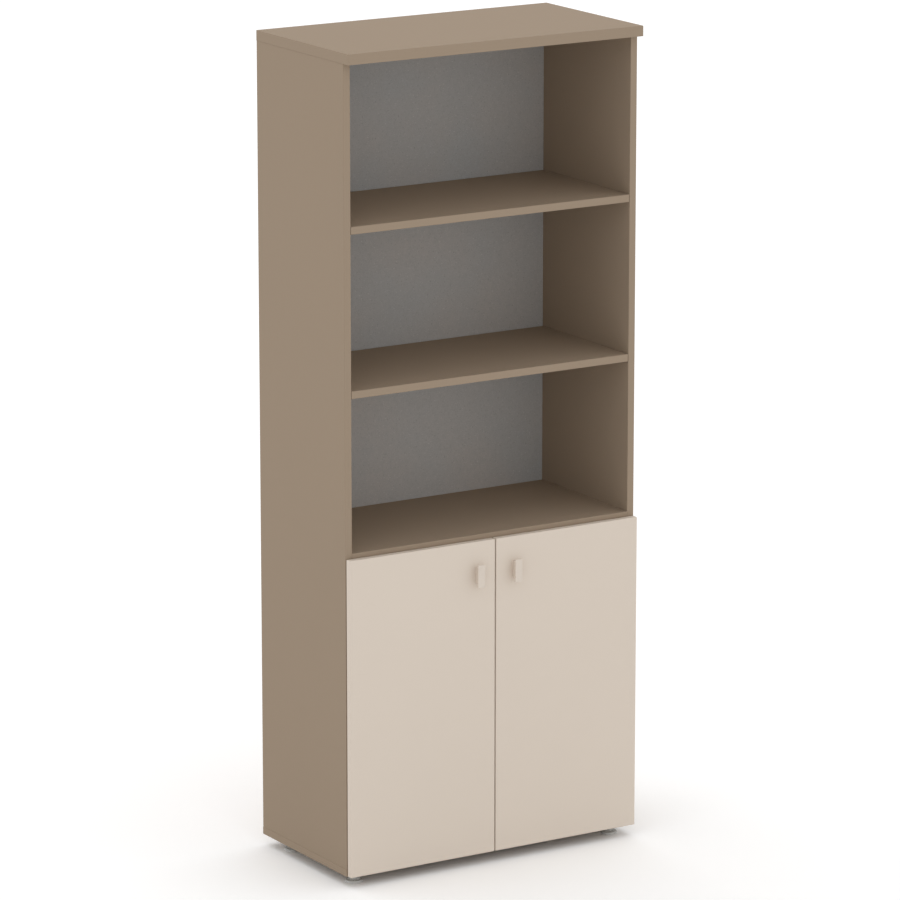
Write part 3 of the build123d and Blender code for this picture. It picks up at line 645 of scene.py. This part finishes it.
def foot_stud(mesh, place, bottom, top, seat, across_flats):
    """Stud: threaded bar with a chamfered tip and a hexagon to turn it by."""
    crest, core, nut = 4.0 * MM, 3.4 * MM, 5.0 * MM
    bar = [(core - 0.3 * MM, bottom), (core, bottom + 0.3 * MM), (core, top - 1.0 * MM),
           (core - 0.8 * MM, top)]
    loft(mesh, place, rings_along(bar))
    flat = across_flats / 2
    face, chamfer_from, fall = 0.9 * flat, 0.97 * flat, math.tan(math.radians(30))
    loft(mesh, place, [ring(face, seat, 2 * ROUND),
                       hexagon_ring(across_flats, seat, chamfer_from, fall),
                       hexagon_ring(across_flats, seat + nut, chamfer_from, -fall),
                       ring(face, seat + nut, 2 * ROUND)])
    thread(mesh, place, bar, crest, 1.25 * MM, seat + nut - 0.6 * MM, top - 0.6 * MM)


# ------------------------------------------------------------------ new pieces
def shape(name, made, material, build):
    """New piece that stands for a CAD node: build fills its mesh. It rides where the node rides."""
    mesh = bmesh.new()
    build(mesh)
    bmesh.ops.recalc_face_normals(mesh, faces=mesh.faces)
    data = bpy.data.meshes.new(f"{name}_{made}")
    mesh.to_mesh(data)
    mesh.free()
    data.shade_smooth()
    data.set_sharp_from_angle(angle=SHARP_ANGLE)
    data.materials.append(material)
    piece = bpy.data.objects.new(f"{name}_{made}", data)
    bpy.context.scene.collection.objects.link(piece)
    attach(piece, BODY_OF[name])
    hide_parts(name)


def turn(names, made, material, slot, build, *settings):
    """One new piece for each CAD node, with each of the node's round solids built in turn."""
    for name in names:
        def fill(mesh):
            for solid in turned_solids(name):
                build(mesh, solid, *settings)
        shape(name, made, material, fill)


# ------------------------------------------------------------------ operators for the pieces
class BOOKCASE_OT_case_boards(bpy.types.Operator):
    """Faces the top, base, sides and shelves"""
    bl_idname = "bookcase.case_boards"
    bl_label = "Case boards"

    def execute(self, context):
        look = context.scene.bookcase_boards
        # The case's edges get painted shade.
        dress(CASE_BOARDS, board_finish("case_board", look.case_colour, look, CASE_EDGE_SHADE))
        soften(CASE_BOARDS, width=0.5 * MM)
        return {"FINISHED"}


class BOOKCASE_OT_back_panel(bpy.types.Operator):
    """Finishes the back panel"""
    bl_idname = "bookcase.back_panel"
    bl_label = "Back panel"

    def execute(self, context):
        look = context.scene.bookcase_boards
        dress(["back_panel"], back_finish(look.back_colour, look.raw_colour))
        return {"FINISHED"}


class BOOKCASE_OT_doors(bpy.types.Operator):
    """Faces both doors"""
    bl_idname = "bookcase.doors"
    bl_label = "Doors"

    def execute(self, context):
        look = context.scene.bookcase_boards
        # The doors' edges get a painted highlight.
        dress([side + "_door_panel" for side in SIDES],
              board_finish("door_board", look.door_colour, look, DOOR_EDGE_HIGHLIGHT))
        return {"FINISHED"}


class BOOKCASE_OT_handles(bpy.types.Operator):
    """Finishes both handles"""
    bl_idname = "bookcase.handles"
    bl_label = "Handles"

    def execute(self, context):
        colour = shade(context.scene.bookcase_boards.door_colour, HANDLE_SHADE)
        dress([side + "_handle" for side in SIDES],
              plastic_finish("handle_plastic", colour, roughness=0.45))
        return {"FINISHED"}


class BOOKCASE_OT_feet(bpy.types.Operator):
    """Makes the moulded foot pads and threaded studs, and finishes the inserts"""
    bl_idname = "bookcase.feet"
    bl_label = "Levelling feet"

    def execute(self, context):
        look = context.scene.bookcase_fittings
        plastic = plastic_finish("foot_plastic", look.foot_colour, roughness=0.5)
        steel = metal_finish("stud_steel", look.steel_colour, roughness=0.32)
        for foot in FEET:
            pad, stud = foot + "_foot_pad", foot + "_foot_stud"
            low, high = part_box(pad)
            place = Matrix.Translation(((low.x + high.x) / 2, (low.y + high.y) / 2, low.z))
            shape(pad, "moulded", plastic,
                  lambda mesh: foot_pad(mesh, place, (high.x - low.x) / 2, high.z - low.z))
            bottom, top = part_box(stud)
            shape(stud, "threaded", steel,
                  lambda mesh: foot_stud(mesh, place, bottom.z - low.z, top.z - low.z, high.z - low.z,
                                         top.y - bottom.y))
        dress(["foot_inserts"], metal_finish("insert_zinc", look.zinc_colour, roughness=0.45))
        soften(["foot_inserts"], width=0.3 * MM)
        return {"FINISHED"}


class BOOKCASE_OT_knock_down_fittings(bpy.types.Operator):
    """Makes the bolts, cam caps, dowels and nails, and finishes the cams and shelf pins"""
    bl_idname = "bookcase.knock_down_fittings"
    bl_label = "Knock-down fittings"

    def execute(self, context):
        look = context.scene.bookcase_fittings
        zinc = metal_finish("cast_zinc", look.zinc_colour, roughness=0.45)
        steel = metal_finish("pin_steel", look.steel_colour, roughness=0.3)
        plastic = plastic_finish("cap_plastic", look.cap_colour, roughness=0.65, gloss=0.04)
        turn(["cam_bolts"], "threaded", zinc, "zinc", cam_bolt)
        turn(["cam_caps"], "moulded", plastic, "cap_plastic", cam_cap)
        turn(["dowels"], "fluted", beech_finish(look.wood_colour), "dowel_wood", dowel)
        turn(["back_nails"], "ringed", steel, "plated_steel", nail)
        dress(["cam_locks"], zinc)
        dress(SHELF_PINS, steel)
        soften([*SHELF_PINS, "cam_locks"], width=0.25 * MM)
        return {"FINISHED"}


class BOOKCASE_OT_hinges(bpy.types.Operator):
    """Finishes the pressed cups, arms and plates of the hinges and their pins"""
    bl_idname = "bookcase.hinges"
    bl_label = "Hinges"

    def execute(self, context):
        colour = context.scene.bookcase_fittings.steel_colour
        pressed = [f"{side}_hinge_{part}" for side in SIDES for part in ("cups", "pins", "arms", "plates")]
        dress(pressed, metal_finish("hinge_steel", colour, roughness=0.36, grain=(1, 1, 6)))
        soften(pressed, width=0.2 * MM)
        return {"FINISHED"}


class BOOKCASE_OT_screws(bpy.types.Operator):
    """Makes the screws of the handles and hinges"""
    bl_idname = "bookcase.screws"
    bl_label = "Screws"

    def execute(self, context):
        steel = metal_finish("screw_steel", context.scene.bookcase_fittings.steel_colour, roughness=0.3)
        for part, pitch, pointed in (("handle_screws", 0.7 * MM, False), ("arm_screws", 0.7 * MM, False),
                                     ("cup_screws", 1.6 * MM, True), ("plate_screws", 2.2 * MM, True)):
            turn([f"{side}_{part}" for side in SIDES], "threaded", steel, "plated_steel", screw, pitch,
                 pointed)
        return {"FINISHED"}


class BOOKCASE_OT_buffers(bpy.types.Operator):
    """Makes the soft buffers that the doors close on"""
    bl_idname = "bookcase.buffers"
    bl_label = "Door buffers"

    def execute(self, context):
        rubber = rubber_finish(context.scene.bookcase_fittings.rubber_colour)
        turn([side + "_door_buffers" for side in SIDES], "moulded", rubber, "buffer_rubber", buffer)
        return {"FINISHED"}


# ------------------------------------------------------------------ studio
def seen_directly(tree):
    """Output that is 1 for what the camera sees, also in metal or through glass, and 0 for light."""
    path = tree.nodes.new("ShaderNodeLightPath")
    seen = path.outputs["Is Camera Ray"]
    for ray in ("Is Glossy Ray", "Is Transmission Ray"):
        either = tree.nodes.new("ShaderNodeMath")
        either.operation = "MAXIMUM"
        tree.links.new(seen, either.inputs[0])
        tree.links.new(path.outputs[ray], either.inputs[1])
        seen = either.outputs["Value"]
    return seen


def even_sky(strength):
    """White world: even light from all round, and plain white where the camera looks past the floor."""
    world = bpy.data.worlds.new("studio_sky")
    bpy.context.scene.world = world
    world.use_nodes = True
    tree = world.node_tree
    tree.nodes.clear()
    light = tree.nodes.new("ShaderNodeBackground")
    light.inputs["Strength"].default_value = strength
    white = tree.nodes.new("ShaderNodeBackground")
    white.inputs["Strength"].default_value = 1.0
    for background in (light, white):
        background.inputs["Color"].default_value = (1, 1, 1, 1)
    mix = tree.nodes.new("ShaderNodeMixShader")
    tree.links.new(seen_directly(tree), mix.inputs["Fac"])
    tree.links.new(light.outputs["Background"], mix.inputs[1])
    tree.links.new(white.outputs["Background"], mix.inputs[2])
    output = tree.nodes.new("ShaderNodeOutputWorld")
    tree.links.new(mix.outputs["Shader"], output.inputs["Surface"])


def floor_finish(shade_back):
    """Pale matt floor, white to the camera, which keeps the shadows that fall on it."""
    finish = Finish("floor_white")
    given_back = (shade_back, shade_back, shade_back)
    tone = finish.blend(seen_directly(finish.tree), given_back, FLOOR_WHITE)
    finish.surface(Base_Color=tone, Roughness=1.0, Specular_IOR_Level=0.0)
    return finish.material


def soft_lamp(name, source, spread, strength):
    """Wide even lamp in the direction of source, as seen from the object."""
    data = bpy.data.lights.new(name, "SUN")
    data.angle = spread
    data.energy = strength
    lamp = bpy.data.objects.new(name, data)
    bpy.context.scene.collection.objects.link(lamp)
    lamp.location = LAMP_DISTANCE * source
    lamp.rotation_euler = (-source).to_track_quat("-Z", "Y").to_euler()


class BOOKCASE_OT_stage(bpy.types.Operator):
    """Makes the floor, the light and the camera"""
    bl_idname = "bookcase.stage"
    bl_label = "Studio"

    def execute(self, context):
        studio = context.scene.bookcase_studio
        half = studio.floor_half
        mesh = bpy.data.meshes.new("floor")
        mesh.from_pydata([(-half, -half, 0), (half, -half, 0), (half, half, 0), (-half, half, 0)],
                         [], [(0, 1, 2, 3)])
        mesh.materials.append(floor_finish(studio.floor_shade))
        floor = bpy.data.objects.new("floor", mesh)
        context.scene.collection.objects.link(floor)

        even_sky(studio.sky)
        high = Vector((0, math.cos(studio.top_lamp_height), math.sin(studio.top_lamp_height)))
        soft_lamp("top_lamp", high, studio.top_lamp_spread, studio.top_lamp)
        soft_lamp("front_fill", Vector((0, -1, 0)), studio.fill_spread, studio.front_fill)
        soft_lamp("right_fill", Vector((1, 0, 0)), studio.fill_spread, studio.right_fill)

        data = bpy.data.cameras.new("camera")
        data.lens = studio.lens
        camera = bpy.data.objects.new("camera", data)
        context.scene.collection.objects.link(camera)
        back = Vector((math.sin(studio.azimuth) * math.cos(studio.elevation),
                       -math.cos(studio.azimuth) * math.cos(studio.elevation),
                       math.sin(studio.elevation)))
        camera.location = Vector(studio.aim) + back * studio.distance
        camera.rotation_euler = (-back).to_track_quat("-Z", "Y").to_euler()
        data.clip_end = 2 * half + studio.distance
        context.scene.camera = camera
        context.scene.view_settings.view_transform = "Standard"
        return {"FINISHED"}


# ------------------------------------------------------------------ add-on
GROUPS = (("bookcase_boards", BoardFinish), ("bookcase_fittings", FittingFinish),
          ("bookcase_studio", StudioSetup))
OPERATORS = (BOOKCASE_OT_case_boards, BOOKCASE_OT_back_panel, BOOKCASE_OT_doors, BOOKCASE_OT_handles,
             BOOKCASE_OT_feet, BOOKCASE_OT_knock_down_fittings, BOOKCASE_OT_hinges, BOOKCASE_OT_screws,
             BOOKCASE_OT_buffers, BOOKCASE_OT_stage)


class BOOKCASE_PT_sidebar(bpy.types.Panel):
    """Lists the operators and the settings that they read"""
    bl_idname = "BOOKCASE_PT_sidebar"
    bl_label = "Bookcase"
    bl_space_type = "VIEW_3D"
    bl_region_type = "UI"
    bl_category = "Bookcase"

    def draw(self, context):
        for operator in OPERATORS:
            self.layout.operator(operator.bl_idname)
        for attribute, group in GROUPS:
            box = self.layout.box()
            for name in group.__annotations__:
                box.prop(getattr(context.scene, attribute), name)


def register():
    for attribute, group in GROUPS:
        bpy.utils.register_class(group)
        setattr(bpy.types.Scene, attribute, PointerProperty(type=group))
    for operator in OPERATORS:
        bpy.utils.register_class(operator)
    bpy.utils.register_class(BOOKCASE_PT_sidebar)


def unregister():
    bpy.utils.unregister_class(BOOKCASE_PT_sidebar)
    for operator in reversed(OPERATORS):
        bpy.utils.unregister_class(operator)
    for attribute, group in reversed(GROUPS):
        delattr(bpy.types.Scene, attribute)
        bpy.utils.unregister_class(group)


def main():
    """Runs every operator in order."""
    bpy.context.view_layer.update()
    register()
    for operator in OPERATORS:
        group, name = operator.bl_idname.split(".")
        getattr(getattr(bpy.ops, group), name)()


if __name__ == "__main__":
    main()
